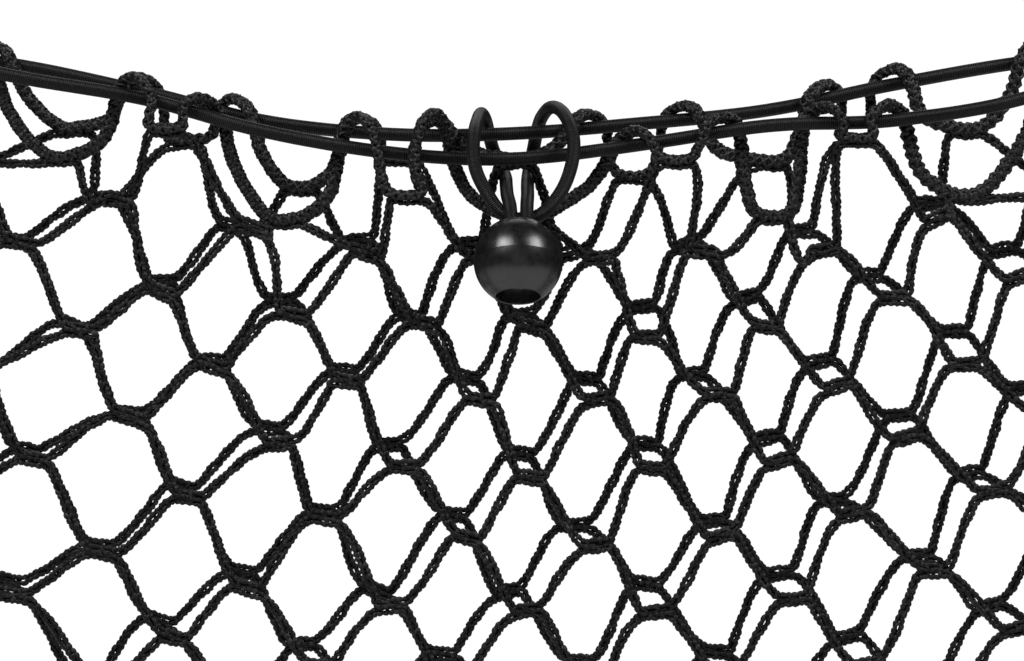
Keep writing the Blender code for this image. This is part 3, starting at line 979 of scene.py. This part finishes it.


# Stitch lengths and heights are in millimetres, and wales are stitch columns round the cord. The light
# value is a painted highlight on the stitch crowns and the specks are painted glints; the dark value is the
# cord's own near-black.
twineLook = {
    "stitch": twine["loop"] / mm,
    "wales": 1.0,
    "slant": 0.15,
    "groove": 0.2,
    "fineness": 1.4,
    "dark": 0.0025,
    "light": 0.034,
    "glintSpecks": 0.9,
    "roughLow": 0.30,
    "roughHigh": 0.54,
    "gloss": 0.27,
    "stitchHeight": 0.06,
    "fibreHeight": 0.07,
}
# The border's crowns carry a brighter painted highlight and glossier glints.
borderLook = dict(twineLook, stitch=1.4, slant=0.0, light=0.042, gloss=0.42, stitchHeight=0.12)
# The elastic's ribs get a painted highlight on their crowns, with few painted glint specks.
sheathLook = dict(
    twineLook,
    stitch=0.54,
    slant=0.0,
    groove=0.0,
    fineness=2.0,
    dark=0.0006,
    light=0.026,
    glintSpecks=0.20,
    roughLow=0.34,
    roughHigh=0.46,
    stitchHeight=0.18,
    fibreHeight=0.015,
)
twineMaterial = cordMaterial("knittedTwine", twineLook)
borderMaterial = cordMaterial("braidedBorder", borderLook)
sheathMaterial = cordMaterial("elasticSheath", sheathLook)


# Moulded plastic with fine scuffs, whose height is in millimetres.
ballLook = {
    "scuffs": 420.0,
    "scuffDetail": 6.0,
    "scuffHeight": 0.1,
    "scuffStrength": 0.25,
    "dark": 0.004,
    "light": 0.014,
    "roughLow": 0.20,
    "roughHigh": 0.38,
    "gloss": 0.85,
}


def ballMaterialOf(look):
    material = bpy.data.materials.new("mouldedBall")
    material.use_nodes = True
    tree = material.node_tree
    shader = tree.nodes["Principled BSDF"]
    point = tree.nodes.new("ShaderNodeTexCoord")
    scuffs = noiseNode(tree, point.outputs["Object"], look["scuffs"], look["scuffDetail"])
    colour = ramp(tree, scuffs, ((0.3, grey(look["dark"])), (0.75, grey(look["light"]))))
    tree.links.new(colour, shader.inputs["Base Color"])
    rough = mapRange(tree, scuffs, look["roughLow"], look["roughHigh"])
    tree.links.new(rough, shader.inputs["Roughness"])
    shader.inputs["Specular IOR Level"].default_value = look["gloss"]
    bumpNode(tree, shader, scuffs, look["scuffStrength"], look["scuffHeight"] * mm)
    return material


# The camera looks level along +Y at the part of the net that the picture frames

view = {
    "centreX": -1.8 * mm,
    "centreZ": -86.2 * mm,
    "width": 302.6 * mm,
    "planeY": -8.0 * mm,
    "away": 1.1,
    "sensor": 36.0,
}
cameraData = bpy.data.cameras.new("camera")
cameraData.sensor_width = view["sensor"]
cameraData.lens = view["sensor"] * view["away"] / view["width"]
cameraData.clip_start = 0.01
camera = bpy.data.objects.new("camera", cameraData)
camera.location = (view["centreX"], view["planeY"] - view["away"], view["centreZ"])
camera.rotation_euler = (math.radians(90), 0, 0)
bpy.context.scene.collection.objects.link(camera)
bpy.context.scene.camera = camera

# The net

netPieces = []
halves = {
    "Upper": range(lattice["hemRow"], lattice["splitRow"]),
    "Lower": range(lattice["splitRow"], lattice["bottomRow"]),
}
for layer, name in ((front, "front"), (back, "back")):
    for half, rows in halves.items():
        tubes = TubeMesh()
        for row in rows:
            route, _ = evenRoute(zigzagPoints(layer, row), twine["step"])
            route = wavered(route, twine["waver"], twine["step"], f"twine {layer} {row}")
            tubes.addCord(route, twine, f"stitch {layer} {row}")
        piece = tubes.build(f"{name}Meshes{half}", twineMaterial)
        netPieces.append(piece)
        print(f"{piece.name}: {tubes.length:.2f} m of twine, {2 * len(piece.data.polygons)} triangles")

hemPieces = {}
for layer, name in ((front, "frontBorder"), (back, "backBorder")):
    tubes = TubeMesh()
    route, _ = evenRoute(borderPoints(layer), border["step"])
    route = wavered(route, border["waver"], border["step"], f"border {layer}")
    tubes.addCord(route, border, f"border stitch {layer}")
    hemPieces[layer] = tubes.build(name, borderMaterial)
    netPieces.append(hemPieces[layer])
    print(f"{name}: {tubes.length:.2f} m, {2 * len(hemPieces[layer].data.polygons)} triangles")

tubes = TubeMesh()
route, _ = evenRoute(selvagePoints(), border["step"])
tubes.addCord(wavered(route, border["waver"], border["step"], "selvage"), border, "selvage stitch")
selvage = tubes.build("selvageCord", borderMaterial)
netPieces.append(selvage)
print(f"selvage: {tubes.length:.2f} m, {2 * len(selvage.data.polygons)} triangles")

for piece in netPieces:
    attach(piece, "root")
    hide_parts("net")

# The elastic ring

ringTube = TubeMesh()
ringRoute, ringLength = evenRoute(ringPoints(), elastic["step"], closed=True)
ringAlong = np.arange(len(ringRoute)) * ringLength / len(ringRoute) / mm
ringTube.addTube(ringRoute, elastic["radius"], ringAlong, elastic["sides"], closed=True)
mouthElastic = ringTube.build("mouthElastic", sheathMaterial)
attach(mouthElastic, "root")
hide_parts("mouth_elastic")
print(f"elastic ring: {ringLength:.2f} m")

# The toggle

toggleTube = TubeMesh()
togglePlaces = [Vector((x, y, -drop)) * mm for x, y, drop in toggleRoute]
route, toggleLength = evenRoute(togglePlaces, elastic["step"] / 2)
toggleAlong = np.linspace(0, toggleLength / mm, len(route))
toggleTube.addTube(route, elastic["radius"], toggleAlong, elastic["sides"])
toggleLoop = toggleTube.build("toggleElastic", sheathMaterial)
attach(toggleLoop, "root")
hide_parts("toggle_loop")
print(f"toggle elastic: {toggleLength:.2f} m")


def ballProfile():
    # (radius, height) pairs up the outside, down through the bore and out of the recess, all one turn
    size = ball["radius"]
    edge = ball["edge"]
    bottomHeight = -math.sqrt(size**2 - (ball["recessRadius"] + edge) ** 2)
    topHeight = math.sqrt(size**2 - (ball["boreRadius"] + edge) ** 2)
    profile = []
    steps = ball["outsideSteps"]
    low = math.asin(bottomHeight / size)
    high = math.asin(topHeight / size)
    angles = [low + (high - low) * step / steps for step in range(steps + 1)]
    angles += [way * turn for turn in ball["seamTurns"] for way in (-1, 1)] + [0.0]
    for angle in sorted(angles):
        height = size * math.sin(angle)
        seam = ball["seamRise"] * math.exp(-abs(height) / ball["seamWidth"])
        profile.append((size * math.cos(angle) + seam, height))
    floor = ball["recessDepth"] - size
    for turn in (30, 60, 90):
        bend = math.radians(turn)
        profile.append((
            ball["boreRadius"] + edge * (1 - math.sin(bend)),
            topHeight - edge * (1 - math.cos(bend)) * ball["edgeFall"],
        ))
    profile += [
        (ball["boreRadius"], topHeight - edge * ball["edgeRun"]),
        (ball["boreRadius"], 0.0),
        (ball["boreRadius"], floor),
        (ball["recessRadius"] - edge, floor),
        (ball["recessRadius"], floor - edge),
        (ball["recessRadius"], bottomHeight + edge * ball["edgeRun"]),
    ]
    for turn in (90, 60, 30):
        bend = math.radians(turn)
        profile.append((
            ball["recessRadius"] + edge * (1 - math.sin(bend)),
            bottomHeight + edge * (1 - math.cos(bend)) * ball["edgeFall"],
        ))
    return profile


def buildBall():
    profile = np.array(ballProfile())
    segments = ball["segments"]
    angle = 2 * math.pi * np.arange(segments) / segments
    count = len(profile)
    vertices = np.stack(
        [
            profile[:, 0, None] * np.cos(angle),
            profile[:, 0, None] * np.sin(angle),
            np.broadcast_to(profile[:, 1, None], (count, segments)),
        ],
        axis=-1,
    ).reshape(-1, 3)
    faces = []
    for row in range(count):
        nextRow = (row + 1) % count
        for turn in range(segments):
            beside = (turn + 1) % segments
            faces.append((
                row * segments + turn,
                row * segments + beside,
                nextRow * segments + beside,
                nextRow * segments + turn,
            ))
    mesh = bpy.data.meshes.new("toggleBall")
    mesh.from_pydata(vertices.tolist(), [], faces)
    mesh.shade_smooth()
    mesh.materials.append(ballMaterialOf(ballLook))
    piece = bpy.data.objects.new("toggleBall", mesh)
    bpy.context.scene.collection.objects.link(piece)
    piece.location = ball["place"]
    piece.rotation_euler = (-ball["tilt"], 0, 0)
    return piece


toggleBall = buildBall()
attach(toggleBall, "root")
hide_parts("toggle_ball")
print("toggle ball")

# Floor, light and air

# The white air is bright behind the net and dim as a light. A light has its place, its size and its watts.
stage = {
    "floorZ": -0.32,
    "floorRadius": 1.2,
    "floorSides": 96,
    "floorRough": 0.8,
    "floorColour": (0.86, 0.86, 0.86, 1),
    "airLit": 0.018,
    "airSeen": 1.05,
    "lightsAim": (0, 0, -0.08),
}
lights = {
    "softboxLeft": ((-0.75, -0.70, 0.95), (0.80, 0.55), 13),
    "softboxRight": ((0.90, -0.50, 0.90), (0.60, 0.55), 10.5),
    "frontFill": ((0.1, -1.6, 0.1), (1.2, 0.8), 0.6),
    "backTop": ((0.0, 1.0, 0.8), (1.0, 0.6), 3),
}


def addFloor():
    mesh = bpy.data.meshes.new("floor")
    count = stage["floorSides"]
    radius = stage["floorRadius"]
    turns = [2 * math.pi * step / count for step in range(count)]
    ring = [(radius * math.cos(turn), radius * math.sin(turn), stage["floorZ"]) for turn in turns]
    mesh.from_pydata(ring, [], [tuple(range(count))])
    floor = bpy.data.objects.new("floor", mesh)
    bpy.context.scene.collection.objects.link(floor)
    material = bpy.data.materials.new("paleFloor")
    material.use_nodes = True
    tree = material.node_tree
    shader = tree.nodes["Principled BSDF"]
    shader.inputs["Roughness"].default_value = stage["floorRough"]
    shader.inputs["Base Color"].default_value = stage["floorColour"]
    mesh.materials.append(material)


def addWorld():
    world = bpy.data.worlds.new("studio")
    bpy.context.scene.world = world
    world.use_nodes = True
    tree = world.node_tree
    background = tree.nodes["Background"]
    path = tree.nodes.new("ShaderNodeLightPath")
    level = mapRange(tree, path.outputs["Is Camera Ray"], stage["airLit"], stage["airSeen"])
    background.inputs["Color"].default_value = (1, 1, 1, 1)
    tree.links.new(level, background.inputs["Strength"])


def addLight(name, place, size, power):
    data = bpy.data.lights.new(name, "AREA")
    data.shape = "RECTANGLE"
    data.size, data.size_y = size
    data.energy = power
    light = bpy.data.objects.new(name, data)
    light.location = place
    aim = Vector(stage["lightsAim"]) - Vector(place)
    light.rotation_euler = aim.to_track_quat("-Z", "Y").to_euler()
    bpy.context.scene.collection.objects.link(light)


addFloor()
addWorld()
for lightName, settings in lights.items():
    addLight(lightName, *settings)
bpy.context.scene.view_settings.view_transform = "Standard"
print("stage and lights")
